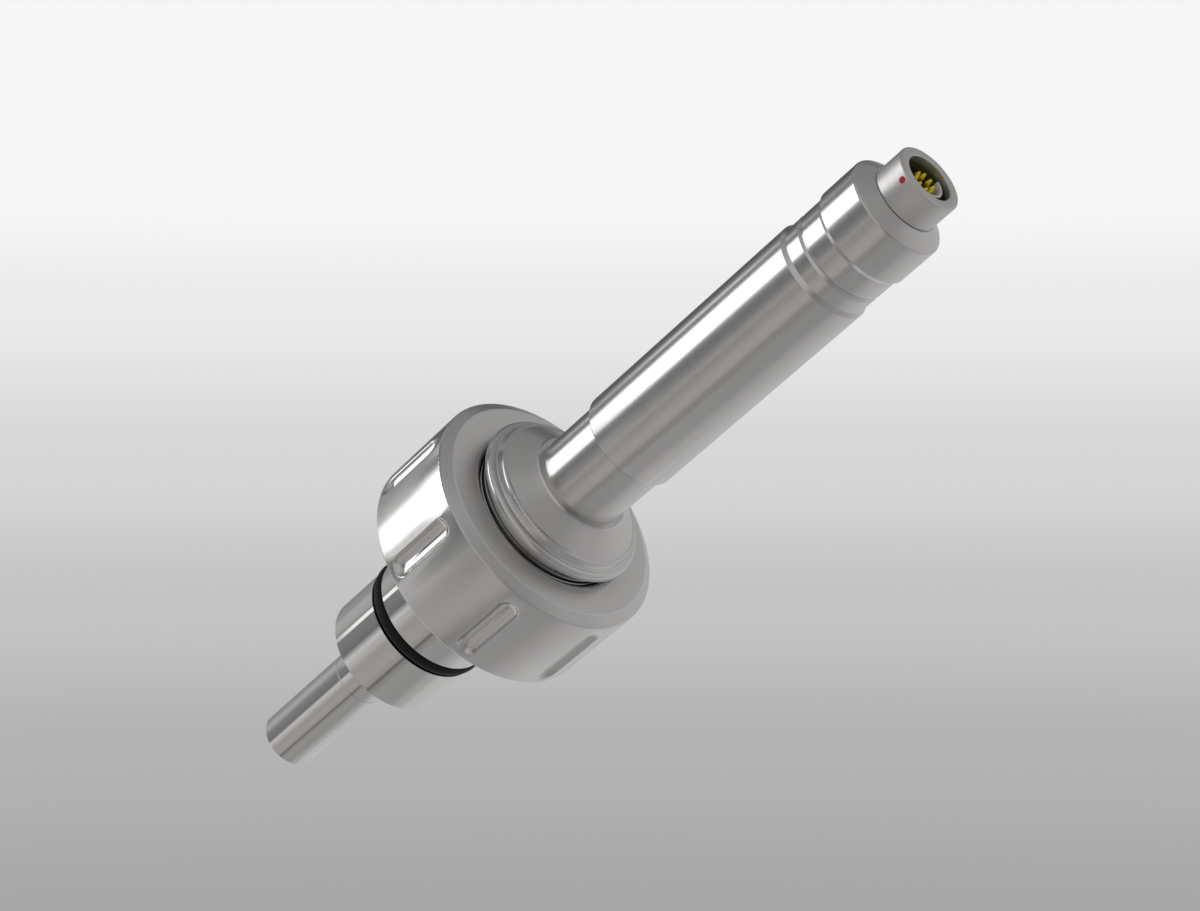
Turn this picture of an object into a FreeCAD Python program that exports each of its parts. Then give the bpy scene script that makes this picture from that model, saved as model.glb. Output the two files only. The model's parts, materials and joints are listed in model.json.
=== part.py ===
import FreeCAD, Part
import math
import os

# Flush-tip biomass sensor for a side port of a fermenter, in millimetres.
# +Z runs along the axis from the sensing tip to the connector.
# The origin is the middle of the port plug's lower end, where the sensing tip leaves it.
# The red index dot of the connector points to -Y.

# Clearances between pieces that are screwed, pressed or pushed together
THREAD_CLEARANCE = 0.06
PRESS_CLEARANCE = 0.02
SEAL_CLEARANCE = 0.02
WIRE_CLEARANCE = 0.05
SOLDER_GAP = 0.12

# How wide a hidden seal's groove is, as a share of the seal's own size
SEAL_GROOVE_SHARE = 1.3

# Sensing tip
TIP_D = 11.66
TIP_LENGTH = 24.46
TIP_BORE_D = 9.8
TIP_EDGE = 0.12
TIP_SPIGOT_LENGTH = 8.6
TIP_STUD_LENGTH = 7.4
TIP_SEAM = 0.12
TIP_SEAL_SIZE = 1.2
TIP_SEAL_FROM_FACE = 4.5

# Four electrodes in a row, flush with the front face
ELECTRODE_COUNT = 4
ELECTRODE_D = 1.1
ELECTRODE_LENGTH = 3.0
ELECTRODE_PITCH = 1.9
LEAD_D = 0.7

# Port plug with its collar and neck
PLUG_D = 25.0
PLUG_LENGTH = 41.7
PLUG_EDGE = 0.45
PLUG_BORE_D = 7.6
PORT_SEAL_FROM_END = 12.5
PORT_SEAL_GROOVE_WIDTH = 3.07
PORT_SEAL_CORD_D = 2.8
PORT_SEAL_PROUD = 0.37
COLLAR_D = 37.0
COLLAR_THICKNESS = 3.5
COLLAR_EDGE = 0.4
NECK_D = 30.94
NECK_ABOVE_NUT = 0.15
NECK_SEAM = 0.1
NECK_LINE_DEPTH = 0.18
NECK_LINE_WIDTH = 0.32
NECK_LINE_BELOW_TOP = 1.08

# Slip ring and union nut
SLIP_RING_THICKNESS = 1.3
SLIP_RING_GAP = 0.16
NUT_THREAD_D = 41.91
NUT_WALL = 3.645
NUT_HEIGHT = 20.6
NUT_WEB = 4.9
NUT_OPENING_GAP = 0.33
NUT_OPENING_ROUND = 1.5
NUT_BOTTOM_ROUND = 0.3
NUT_TOP_CHAMFER_WIDE = 2.2
NUT_TOP_CHAMFER_HIGH = 1.35
NUT_TOP_EDGE_ROUND = 0.5
NUT_THREAD_ENTRY = 0.8
NUT_RELIEF_DEPTH = 0.4
NUT_RELIEF_HEIGHT = 3.2
GRIP_COUNT = 8
GRIP_BOWL_R = 2.6
GRIP_WALL_ANGLE = 50.0
GRIP_RIM_ANGLE = 9.0
GRIP_SIDE_DROP = 0.1
GRIP_DEPTH = 1.27
GRIP_LENGTH = 16.55
GRIP_END_R = 2.625
GRIP_FROM_BOTTOM = 0.8
GRIP_EDGE_ROUND = 0.5

# Hub with its two discs, cone and stem
HUB_SPIGOT_D = 21.0
HUB_SPIGOT_LENGTH = 7.5
HUB_SEAL_SIZE = 1.8
HUB_BORE_D = 11.0
HUB_FOOT_D = 31.2
HUB_FOOT_HEIGHT = 2.05
HUB_FOOT_FILLET = 0.4
HUB_RELIEF_DEPTH = 0.55
HUB_RELIEF_HEIGHT = 0.32
FLANGE_D = 34.4
FLANGE_THICKNESS = 1.88
FLANGE_LOWER_ROUND = 0.5
FLANGE_ROUND = 0.95
STEP_D = 30.8
STEP_HEIGHT = 1.62
STEP_TAPER = 0.35
STEP_LAND = 0.6
STEP_FILLET = 0.4
STEP_ROUND = 0.35
CONE_FOOT_D = 29.4
CONE_HEIGHT = 2.95
LIP_D = 20.26
LIP_HEIGHT = 0.35
LIP_ROUND = 0.3
LIP_TAPER = 0.22
STEM_D = 18.04
STEM_LENGTH = 14.3
STEM_SPIGOT_LENGTH = 10.0

# Barrel housing
BARREL_D = 19.56
BARREL_WALL = 1.48
BARREL_LENGTH = 51.2
BARREL_EDGE_ROUND = 0.3
BARREL_SEAL_SIZE = 1.5
BARREL_SEAL_BELOW_END = 3.0
WAIST_STEP = 0.5
WAIST_CHAMFER_HIGH = 0.85
WAIST_LOWER_LENGTH = 2.9
WAIST_UPPER_LENGTH = 4.2
SEAM_DEPTH = 0.3
SEAM_HALF_WIDTH = 0.55

# Head cap
CAP_LENGTH = 8.1
CAP_EDGE_ROUND = 0.6
CAP_CONE_HEIGHT = 2.0
CAP_TOP_D = 13.5
CAP_SPIGOT_WALL = 2.0
CAP_WEB = 4.6
CAP_SPIGOT_LENGTH = 8.0
CAP_SEAL_SIZE = 1.5
CAP_SEAL_BELOW_SEAM = 2.6

# Connector
SHELL_D = 13.02
SHELL_HEIGHT = 5.85
SHELL_RIM_ROUND = 0.35
SHELL_FOOT_EDGE = 0.12
SOCKET_D = 9.2
SOCKET_DEPTH = 4.15
SOCKET_LIP = 0.15
LATCH_GROOVE_DEPTH = 0.35
LATCH_GROOVE_WIDTH = 1.1
LATCH_GROOVE_BELOW_RIM = 1.3
SHANK_D = 8.6
SHANK_BELOW_WEB = 3.2
SHANK_SEAL_SIZE = 1.0
SHANK_NUT_SIDES = 6
SHANK_NUT_CORNER_GAP = 0.065
SHANK_NUT_HEIGHT = 2.0
INSERT_D = 7.0
INSERT_BELOW_SHANK = 0.6
SHROUD_WALL = 0.5
SHROUD_HEIGHT = 3.4
PIN_COUNT = 8
PIN_D = 1.15
PIN_CIRCLE_D = 3.7
PIN_HEIGHT = 3.3
PIN_POINT_LENGTH = 1.6
PIN_POINT_R = 0.2
PIN_CURVE_R = 0.48
PIN_CURVE_HEIGHT = 0.9
PIN_TAIL = 1.0
PIN_FIRST_ANGLE = 12.0
PIN_LEAD_PITCH = 0.95
DOT_D = 1.2
DOT_DEPTH = 0.35
DOT_BELOW_RIM = 1.25
DOT_ANGLE = -90.0

# Preamplifier board inside the barrel
BOARD_WIDTH = 13.6
BOARD_THICKNESS = 1.2
HOLDER_THICKNESS = 3.0
HOLDER_SLOT_DEPTH = 1.2
HOLDER_HOLE_D = 9.0
CHIP_HEIGHT = 1.4
AMPLIFIER_CHIP_SIZE = 5.0
CONVERTER_CHIP_SIZE = 7.0
CONVERTER_CHIP_LENGTH = 9.0
CHIP_FROM_BOARD_END = 5.0
CAPACITOR_COUNT = 3
CAPACITOR_D = 3.2
CAPACITOR_HEIGHT = 3.6
CAPACITOR_PITCH = 5.0

# Radii that follow from a wall
nut_r = NUT_THREAD_D / 2 + NUT_WALL
barrel_bore_r = BARREL_D / 2 - BARREL_WALL
cap_bore_r = barrel_bore_r - CAP_SPIGOT_WALL

# Heights along the axis, worked out from the sizes above
spigot_bottom = -TIP_SPIGOT_LENGTH
tip_face = spigot_bottom - TIP_LENGTH
stud_bottom = spigot_bottom - TIP_STUD_LENGTH
collar_bottom = PLUG_LENGTH
collar_top = collar_bottom + COLLAR_THICKNESS
nut_shoulder = collar_top + SLIP_RING_THICKNESS
nut_top = nut_shoulder + NUT_WEB
nut_bottom = nut_top - NUT_HEIGHT
neck_top = nut_top + NECK_ABOVE_NUT
hub_spigot_bottom = neck_top - HUB_SPIGOT_LENGTH
flange_bottom = neck_top + HUB_FOOT_HEIGHT
flange_top = flange_bottom + FLANGE_THICKNESS
step_top = flange_top + STEP_HEIGHT
cone_top = step_top + CONE_HEIGHT
barrel_bottom = cone_top + STEM_LENGTH
stem_end = barrel_bottom + STEM_SPIGOT_LENGTH
barrel_top = barrel_bottom + BARREL_LENGTH
waist_bottom = barrel_top + WAIST_CHAMFER_HIGH
seam = waist_bottom + WAIST_LOWER_LENGTH + SEAM_HALF_WIDTH
waist_top = seam + SEAM_HALF_WIDTH + WAIST_UPPER_LENGTH
cap_bottom = waist_top + WAIST_CHAMFER_HIGH
cap_top = cap_bottom + CAP_LENGTH
shell_bottom = cap_top + CAP_CONE_HEIGHT
rim = shell_bottom + SHELL_HEIGHT
socket_floor = rim - SOCKET_DEPTH
web_bottom = shell_bottom - CAP_WEB
shank_bottom = web_bottom - SHANK_BELOW_WEB
insert_bottom = shank_bottom - INSERT_BELOW_SHANK
pin_bottom = insert_bottom - PIN_TAIL
cap_spigot_bottom = seam - CAP_SPIGOT_LENGTH
board_bottom = stem_end + HOLDER_THICKNESS - HOLDER_SLOT_DEPTH
board_top = cap_spigot_bottom - HOLDER_THICKNESS + HOLDER_SLOT_DEPTH


def corner_arc(before, corner, after, radius):
    """The arc of the given radius that rounds a corner between two straight runs."""
    to_before = (before - corner).normalize()
    to_after = (after - corner).normalize()
    half_angle = to_before.getAngle(to_after) / 2
    reach = radius / math.tan(half_angle)
    start = corner + to_before * reach
    end = corner + to_after * reach
    inward = (to_before + to_after).normalize()
    centre = corner + inward * (radius / math.sin(half_angle))
    return Part.Arc(start, centre - inward * radius, end)


def outline_wire(points):
    """A closed wire in the XZ plane from (radius, height) corners, or (radius, height, rounding)."""
    corners = [FreeCAD.Vector(point[0], 0, point[1]) for point in points]
    count = len(corners)
    runs = []
    for index, point in enumerate(points):
        corner = corners[index]
        if len(point) == 3:
            arc = corner_arc(corners[index - 1], corner, corners[(index + 1) % count], point[2])
            runs.append((arc.StartPoint, arc.EndPoint, arc.toShape()))
        else:
            runs.append((corner, corner, None))
    edges = []
    for index, (start, end, arc) in enumerate(runs):
        if arc is not None:
            edges.append(arc)
        following = runs[(index + 1) % count][0]
        if end.distanceToPoint(following) > 1e-6:
            edges.append(Part.makeLine(end, following))
    return Part.Wire(edges)


def turned(points):
    """A piece turned about the Z axis from its half section."""
    section = Part.Face(outline_wire(points))
    return section.revolve(FreeCAD.Vector(0, 0, 0), FreeCAD.Vector(0, 0, 1), 360)


def rod(radius, bottom, top, x=0.0, y=0.0):
    """An upright round rod."""
    return Part.makeCylinder(radius, top - bottom, FreeCAD.Vector(x, y, bottom))


def wire_between(start, end, diameter):
    """A straight round wire between two points."""
    return Part.makeCylinder(diameter / 2, (end - start).Length, start, end - start)


def upright_box(width, depth, bottom, top, x=0.0, y=0.0):
    """A box centred on x and y that stands from bottom to top."""
    corner = FreeCAD.Vector(x - width / 2, y - depth / 2, bottom)
    return Part.makeBox(width, depth, top - bottom, corner)


def seal_ring(bore_r, size, height):
    """A square-cut ring that fills a groove out to the bore."""
    outer = bore_r - SEAL_CLEARANCE
    return turned([
        (outer - size, height - size / 2),
        (outer, height - size / 2),
        (outer, height + size / 2),
        (outer - size, height + size / 2),
    ])


def groove_floor(bore_r, size):
    """The radius of a groove's floor for a ring that just fills it out to the bore."""
    return bore_r - size - 2 * SEAL_CLEARANCE


def groove_half_width(size):
    """Half of the width of a hidden seal's groove."""
    return size * SEAL_GROOVE_SHARE / 2


def around(count, first_angle, radius):
    """Evenly spaced places on a circle, as (angle, x, y)."""
    for index in range(count):
        angle = first_angle + 360.0 * index / count
        turn = math.radians(angle)
        yield angle, radius * math.cos(turn), radius * math.sin(turn)


def electrode_places():
    """Where the electrodes stand across the tip."""
    middle = (ELECTRODE_COUNT - 1) / 2
    return [(index - middle) * ELECTRODE_PITCH for index in range(ELECTRODE_COUNT)]


def pin_places():
    """Where the contact pins stand in the connector."""
    return [(x, y) for angle, x, y in around(PIN_COUNT, PIN_FIRST_ANGLE, PIN_CIRCLE_D / 2)]


def tip_sleeve():
    """The polished sleeve of the sensing tip, open at both ends."""
    outer = TIP_D / 2
    bore = TIP_BORE_D / 2
    return turned([
        (bore, tip_face),
        (outer, tip_face, TIP_EDGE),
        (outer, spigot_bottom - TIP_SEAM),
        (outer - TIP_SEAM, spigot_bottom),
        (bore, spigot_bottom),
    ])


def tip_insulator():
    """The plastic plug of the tip that holds the electrodes and ends against the plug's stud."""
    bore = TIP_BORE_D / 2
    radius = bore - PRESS_CLEARANCE
    floor = groove_floor(bore, TIP_SEAL_SIZE)
    seal_height = tip_face + TIP_SEAL_FROM_FACE
    half_groove = groove_half_width(TIP_SEAL_SIZE)
    body = turned([
        (0, tip_face),
        (radius, tip_face),
        (radius, seal_height - half_groove),
        (floor, seal_height - half_groove),
        (floor, seal_height + half_groove),
        (radius, seal_height + half_groove),
        (radius, stud_bottom),
        (0, stud_bottom),
    ])
    electrode_top = tip_face + ELECTRODE_LENGTH
    for x in electrode_places():
        body = body.cut(rod(ELECTRODE_D / 2 + PRESS_CLEARANCE, tip_face, electrode_top, x))
        body = body.cut(rod(LEAD_D / 2 + WIRE_CLEARANCE, electrode_top, stud_bottom, x))
    return body


def electrode(x):
    """One electrode, flush with the front face."""
    return rod(ELECTRODE_D / 2, tip_face, tip_face + ELECTRODE_LENGTH, x)


def electrode_lead(x):
    """The lead from one electrode up to the edge of the board."""
    return rod(LEAD_D / 2, tip_face + ELECTRODE_LENGTH, board_bottom, x)


def tip_seal():
    """The ring that seals the insulator in the sleeve."""
    return seal_ring(TIP_BORE_D / 2, TIP_SEAL_SIZE, tip_face + TIP_SEAL_FROM_FACE)


def port_seal_floor():
    """The floor radius of the groove for the port seal."""
    return PLUG_D / 2 + PORT_SEAL_PROUD - PORT_SEAL_CORD_D - SEAL_CLEARANCE


def plug_body():
    """The port plug, turned with its lower stud, spigot, seal groove, collar and neck."""
    bore = PLUG_BORE_D / 2
    stud = TIP_BORE_D / 2 - THREAD_CLEARANCE
    spigot = TIP_D / 2
    plug = PLUG_D / 2
    collar = COLLAR_D / 2
    neck = NECK_D / 2
    socket = HUB_SPIGOT_D / 2 + THREAD_CLEARANCE
    groove_bottom = PORT_SEAL_FROM_END
    groove_top = groove_bottom + PORT_SEAL_GROOVE_WIDTH
    line_middle = neck_top - NECK_LINE_BELOW_TOP
    return turned([
        (bore, stud_bottom),
        (stud, stud_bottom),
        (stud, spigot_bottom),
        (spigot - TIP_SEAM, spigot_bottom),
        (spigot, spigot_bottom + TIP_SEAM),
        (spigot, 0),
        (plug - PLUG_EDGE, 0),
        (plug, PLUG_EDGE),
        (plug, groove_bottom),
        (port_seal_floor(), groove_bottom),
        (port_seal_floor(), groove_top),
        (plug, groove_top),
        (plug, collar_bottom),
        (collar - COLLAR_EDGE, collar_bottom),
        (collar, collar_bottom + COLLAR_EDGE),
        (collar, collar_top - COLLAR_EDGE),
        (collar - COLLAR_EDGE, collar_top),
        (neck, collar_top),
        (neck, line_middle - NECK_LINE_WIDTH / 2),
        (neck - NECK_LINE_DEPTH, line_middle),
        (neck, line_middle + NECK_LINE_WIDTH / 2),
        (neck, neck_top - NECK_SEAM),
        (neck - NECK_SEAM, neck_top),
        (socket, neck_top),
        (socket, hub_spigot_bottom),
        (bore, hub_spigot_bottom),
    ])


def port_seal():
    """The ring that seals the plug in the port; it stands a little proud of the plug."""
    cord_r = PORT_SEAL_CORD_D / 2
    height = PORT_SEAL_FROM_END + PORT_SEAL_GROOVE_WIDTH / 2
    return Part.makeTorus(port_seal_floor() + SEAL_CLEARANCE + cord_r, cord_r, FreeCAD.Vector(0, 0, height))


def slip_ring():
    """The flat ring between the collar and the shoulder of the union nut."""
    inner = NECK_D / 2 + SLIP_RING_GAP
    outer = COLLAR_D / 2
    return turned([
        (inner, collar_top),
        (outer, collar_top),
        (outer, nut_shoulder),
        (inner, nut_shoulder),
    ])


def union_nut_blank():
    """The turned blank of the union nut, before the grip recesses are cut."""
    outer = nut_r
    opening = NECK_D / 2 + NUT_OPENING_GAP
    thread = NUT_THREAD_D / 2
    relief = thread + NUT_RELIEF_DEPTH
    relief_bottom = nut_shoulder - NUT_RELIEF_HEIGHT
    return turned([
        (thread + NUT_THREAD_ENTRY, nut_bottom),
        (outer, nut_bottom, NUT_BOTTOM_ROUND),
        (outer, nut_top - NUT_TOP_CHAMFER_HIGH, NUT_TOP_EDGE_ROUND),
        (outer - NUT_TOP_CHAMFER_WIDE, nut_top),
        (opening, nut_top, NUT_OPENING_ROUND),
        (opening, nut_shoulder),
        (relief, nut_shoulder),
        (relief, relief_bottom),
        (thread, relief_bottom),
        (thread, nut_bottom + NUT_THREAD_ENTRY),
    ])


def grip_half_section():
    """Half of a grip recess in cross-section, at y from 0 outwards, with x away from the nut's axis."""
    wall_turn = math.radians(GRIP_WALL_ANGLE)
    rim_turn = math.radians(GRIP_RIM_ANGLE)
    floor = FreeCAD.Vector(nut_r - GRIP_DEPTH, 0, 0)
    bowl_middle = floor + FreeCAD.Vector(
        GRIP_BOWL_R * (1 - math.cos(wall_turn / 2)), GRIP_BOWL_R * math.sin(wall_turn / 2), 0)
    bowl_end = floor + FreeCAD.Vector(
        GRIP_BOWL_R * (1 - math.cos(wall_turn)), GRIP_BOWL_R * math.sin(wall_turn), 0)
    corner = FreeCAD.Vector(grip_rim_r(), grip_half_width(), 0)
    outward = FreeCAD.Vector(math.sin(rim_turn), math.cos(rim_turn), 0)
    past = corner + outward * (GRIP_DEPTH / math.cos(rim_turn))
    rim_arc = corner_arc(bowl_end, corner, past, GRIP_EDGE_ROUND)
    bowl = Part.Arc(floor, bowl_middle, bowl_end)
    outer_corner = FreeCAD.Vector(nut_r + GRIP_DEPTH, past.y, 0)
    outer_middle = FreeCAD.Vector(nut_r + GRIP_DEPTH, 0, 0)
    ends = [rim_arc.EndPoint, past, outer_corner, outer_middle, floor]
    edges = [bowl.toShape(), Part.makeLine(bowl_end, rim_arc.StartPoint), rim_arc.toShape()]
    for index in range(len(ends) - 1):
        edges.append(Part.makeLine(ends[index], ends[index + 1]))
    return Part.Face(Part.Wire(edges))


def grip_wall_rise():
    """How far the bowl of a recess has risen where its straight wall begins."""
    return GRIP_BOWL_R * (1 - math.cos(math.radians(GRIP_WALL_ANGLE)))


def grip_half_width():
    """Half of a recess's width where its wall meets the nut's side."""
    wall_turn = math.radians(GRIP_WALL_ANGLE)
    straight = GRIP_DEPTH - GRIP_SIDE_DROP - grip_wall_rise()
    return GRIP_BOWL_R * math.sin(wall_turn) + straight / math.tan(wall_turn)


def grip_rim_r():
    """The distance of that meeting line's plane from the nut's axis."""
    return nut_r - GRIP_SIDE_DROP


def grip_cutter():
    """The round-ended scoop of one grip recess, on the +X side of the nut."""
    low = nut_bottom + GRIP_FROM_BOTTOM + GRIP_END_R
    high = low + GRIP_LENGTH - 2 * GRIP_END_R
    half = grip_half_section()
    other_half = half.mirror(FreeCAD.Vector(0, 0, 0), FreeCAD.Vector(0, 1, 0))
    radial = FreeCAD.Vector(1, 0, 0)
    trough = half.fuse(other_half).removeSplitter().extrude(FreeCAD.Vector(0, 0, high - low))
    trough.translate(FreeCAD.Vector(0, 0, low))
    lower_end = half.revolve(FreeCAD.Vector(0, 0, 0), radial, -180)
    lower_end.translate(FreeCAD.Vector(0, 0, low))
    upper_end = half.revolve(FreeCAD.Vector(0, 0, 0), radial, 180)
    upper_end.translate(FreeCAD.Vector(0, 0, high))
    return trough.fuse([lower_end, upper_end]).removeSplitter()


def union_nut():
    """The union nut, with a soft-edged grip recess scooped at each place round its side."""
    origin = FreeCAD.Vector(0, 0, 0)
    axis = FreeCAD.Vector(0, 0, 1)
    nut = union_nut_blank()
    nut.rotate(origin, axis, DOT_ANGLE + 180.0 / GRIP_COUNT)
    cutters = []
    for angle, x, y in around(GRIP_COUNT, DOT_ANGLE, 1.0):
        cutter = grip_cutter()
        cutter.rotate(origin, axis, angle)
        cutters.append(cutter)
    return nut.cut(cutters)


def hub():
    """The hub turned in one piece: lower spigot, foot, two discs, cone, lip, stem and upper spigot."""
    bore = HUB_BORE_D / 2
    spigot = HUB_SPIGOT_D / 2
    seal_middle = hub_spigot_bottom + HUB_SPIGOT_LENGTH / 2
    seal_half = groove_half_width(HUB_SEAL_SIZE)
    seal_floor = groove_floor(spigot + THREAD_CLEARANCE, HUB_SEAL_SIZE)
    foot = HUB_FOOT_D / 2
    relief = foot - HUB_RELIEF_DEPTH
    lip = LIP_D / 2
    lip_top = cone_top + LIP_HEIGHT
    stem = STEM_D / 2
    stem_spigot = barrel_bore_r - THREAD_CLEARANCE
    ring_middle = barrel_bottom + BARREL_SEAL_BELOW_END
    ring_half = groove_half_width(BARREL_SEAL_SIZE)
    ring_floor = groove_floor(barrel_bore_r, BARREL_SEAL_SIZE)
    return turned([
        (bore, hub_spigot_bottom),
        (spigot, hub_spigot_bottom),
        (spigot, seal_middle - seal_half),
        (seal_floor, seal_middle - seal_half),
        (seal_floor, seal_middle + seal_half),
        (spigot, seal_middle + seal_half),
        (spigot, neck_top),
        (relief, neck_top),
        (relief, neck_top + HUB_RELIEF_HEIGHT),
        (foot, neck_top + HUB_RELIEF_HEIGHT),
        (foot, flange_bottom, HUB_FOOT_FILLET),
        (FLANGE_D / 2, flange_bottom, FLANGE_LOWER_ROUND),
        (FLANGE_D / 2, flange_top, FLANGE_ROUND),
        (STEP_D / 2 + STEP_TAPER, flange_top, STEP_FILLET),
        (STEP_D / 2, step_top - STEP_LAND),
        (STEP_D / 2, step_top, STEP_ROUND),
        (CONE_FOOT_D / 2, step_top),
        (lip, cone_top, LIP_ROUND),
        (lip - LIP_TAPER, lip_top),
        (stem, lip_top),
        (stem, barrel_bottom),
        (stem_spigot, barrel_bottom),
        (stem_spigot, ring_middle - ring_half),
        (ring_floor, ring_middle - ring_half),
        (ring_floor, ring_middle + ring_half),
        (stem_spigot, ring_middle + ring_half),
        (stem_spigot, stem_end),
        (bore, stem_end),
    ])


def hub_seal():
    """The ring between the hub's spigot and the plug's neck."""
    height = hub_spigot_bottom + HUB_SPIGOT_LENGTH / 2
    return seal_ring(HUB_SPIGOT_D / 2 + THREAD_CLEARANCE, HUB_SEAL_SIZE, height)


def barrel():
    """The long housing tube with its waist at the upper end."""
    bore = barrel_bore_r
    outer = BARREL_D / 2
    waist = BARREL_D / 2 - WAIST_STEP
    return turned([
        (bore, barrel_bottom),
        (outer, barrel_bottom, BARREL_EDGE_ROUND),
        (outer, barrel_top),
        (waist, waist_bottom),
        (waist, seam - SEAM_HALF_WIDTH),
        (waist - SEAM_DEPTH, seam),
        (bore, seam),
    ])


def barrel_seal():
    """The ring between the hub's upper spigot and the barrel."""
    height = barrel_bottom + BARREL_SEAL_BELOW_END
    return seal_ring(barrel_bore_r, BARREL_SEAL_SIZE, height)


def head_cap():
    """The head cap, with its threaded spigot, waist, cone and the hole for the connector."""
    spigot = barrel_bore_r - THREAD_CLEARANCE
    bore = cap_bore_r
    waist = BARREL_D / 2 - WAIST_STEP
    outer = BARREL_D / 2
    hole = SHANK_D / 2 + THREAD_CLEARANCE
    ring_middle = seam - CAP_SEAL_BELOW_SEAM
    ring_half = groove_half_width(CAP_SEAL_SIZE)
    ring_floor = groove_floor(barrel_bore_r, CAP_SEAL_SIZE)
    return turned([
        (bore, cap_spigot_bottom),
        (spigot, cap_spigot_bottom),
        (spigot, ring_middle - ring_half),
        (ring_floor, ring_middle - ring_half),
        (ring_floor, ring_middle + ring_half),
        (spigot, ring_middle + ring_half),
        (spigot, seam),
        (waist - SEAM_DEPTH, seam),
        (waist, seam + SEAM_HALF_WIDTH),
        (waist, waist_top),
        (outer, cap_bottom),
        (outer, cap_top, CAP_EDGE_ROUND),
        (CAP_TOP_D / 2, shell_bottom),
        (hole, shell_bottom),
        (hole, web_bottom),
        (bore, web_bottom),
    ])


def cap_seal():
    """The ring between the head cap's spigot and the barrel."""
    return seal_ring(barrel_bore_r, CAP_SEAL_SIZE, seam - CAP_SEAL_BELOW_SEAM)


def shell_blank():
    """The turned blank of the connector shell, before the hole for the index dot."""
    outer = SHELL_D / 2
    bore = SOCKET_D / 2
    latch = bore + LATCH_GROOVE_DEPTH
    latch_top = rim - LATCH_GROOVE_BELOW_RIM
    latch_bottom = latch_top - LATCH_GROOVE_WIDTH
    shank = SHANK_D / 2
    shank_bore = INSERT_D / 2 + PRESS_CLEARANCE
    seal_outer = shank + SHANK_SEAL_SIZE * SEAL_GROOVE_SHARE
    seal_top = shell_bottom + SHANK_SEAL_SIZE
    return turned([
        (shank_bore, shank_bottom),
        (shank, shank_bottom),
        (shank, seal_top),
        (seal_outer, seal_top),
        (seal_outer, shell_bottom),
        (outer - SHELL_FOOT_EDGE, shell_bottom),
        (outer, shell_bottom + SHELL_FOOT_EDGE),
        (outer, rim, SHELL_RIM_ROUND),
        (bore, rim, SOCKET_LIP),
        (bore, latch_top),
        (latch, latch_top),
        (latch, latch_bottom),
        (bore, latch_bottom),
        (bore, socket_floor),
        (shank_bore, socket_floor),
    ])


def dot_drill(radius):
    """A round bar that points out of the shell's side where the index dot is."""
    turn = math.radians(DOT_ANGLE)
    outward = FreeCAD.Vector(math.cos(turn), math.sin(turn), 0)
    start = outward * (SHELL_D / 2 - DOT_DEPTH)
    start.z = rim - DOT_BELOW_RIM
    return Part.makeCylinder(radius, DOT_DEPTH * 2, start, outward)


def connector_shell():
    """The connector's shell with its socket, latch groove and threaded shank."""
    return shell_blank().cut(dot_drill(DOT_D / 2))


def index_dot():
    """The red enamel dot, flush with the shell's side."""
    side = rod(SHELL_D / 2, shell_bottom, rim)
    return dot_drill(DOT_D / 2 - PRESS_CLEARANCE).common(side)


def connector_seal():
    """The ring under the connector shell, round its shank."""
    inner = SHANK_D / 2 + SEAL_CLEARANCE
    outer = inner + SHANK_SEAL_SIZE
    return turned([
        (inner, shell_bottom),
        (outer, shell_bottom),
        (outer, shell_bottom + SHANK_SEAL_SIZE),
        (inner, shell_bottom + SHANK_SEAL_SIZE),
    ])


def connector_nut():
    """The hexagon nut that holds the connector from inside the head cap."""
    corner_r = cap_bore_r - SHANK_NUT_CORNER_GAP
    bottom = web_bottom - SHANK_NUT_HEIGHT
    corners = [FreeCAD.Vector(x, y, bottom) for angle, x, y in around(SHANK_NUT_SIDES, 0, corner_r)]
    hexagon = Part.Face(Part.makePolygon(corners + corners[:1]))
    body = hexagon.extrude(FreeCAD.Vector(0, 0, SHANK_NUT_HEIGHT))
    return body.cut(rod(SHANK_D / 2 + THREAD_CLEARANCE, bottom, web_bottom))


def insert_shroud():
    """The half-moon shroud that stands on the insert round half of the pins."""
    outer = INSERT_D / 2
    shroud_top = socket_floor + SHROUD_HEIGHT
    shroud = rod(outer, socket_floor, shroud_top)
    shroud = shroud.cut(rod(outer - SHROUD_WALL, socket_floor, shroud_top))
    open_half = upright_box(INSERT_D, 2 * INSERT_D, socket_floor, shroud_top, x=-outer)
    return shroud.cut(open_half)


def connector_insert():
    """The insulating insert that holds the pins."""
    insert = rod(INSERT_D / 2, insert_bottom, socket_floor)
    for x, y in pin_places():
        insert = insert.cut(rod(PIN_D / 2 + PRESS_CLEARANCE, insert_bottom, socket_floor, x, y))
    return insert


def contact_pin(x, y):
    """One contact pin with a bullet-shaped point and a tail for its wire."""
    radius = PIN_D / 2
    top = socket_floor + PIN_HEIGHT
    point_foot = top - PIN_POINT_LENGTH
    curve = Part.Arc(
        FreeCAD.Vector(radius, 0, point_foot),
        FreeCAD.Vector(PIN_CURVE_R, 0, point_foot + PIN_CURVE_HEIGHT),
        FreeCAD.Vector(PIN_POINT_R, 0, top),
    )
    corners = [
        FreeCAD.Vector(PIN_POINT_R, 0, top),
        FreeCAD.Vector(0, 0, top),
        FreeCAD.Vector(0, 0, pin_bottom),
        FreeCAD.Vector(radius, 0, pin_bottom),
        FreeCAD.Vector(radius, 0, point_foot),
    ]
    section = Part.Face(Part.Wire([curve.toShape(), Part.makePolygon(corners)]))
    pin = section.revolve(FreeCAD.Vector(0, 0, 0), FreeCAD.Vector(0, 0, 1), 360)
    pin.translate(FreeCAD.Vector(x, y, 0))
    return pin


def board():
    """The preamplifier's circuit board, standing in the slots of its two holders."""
    return upright_box(BOARD_WIDTH, BOARD_THICKNESS, board_bottom, board_top)


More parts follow.
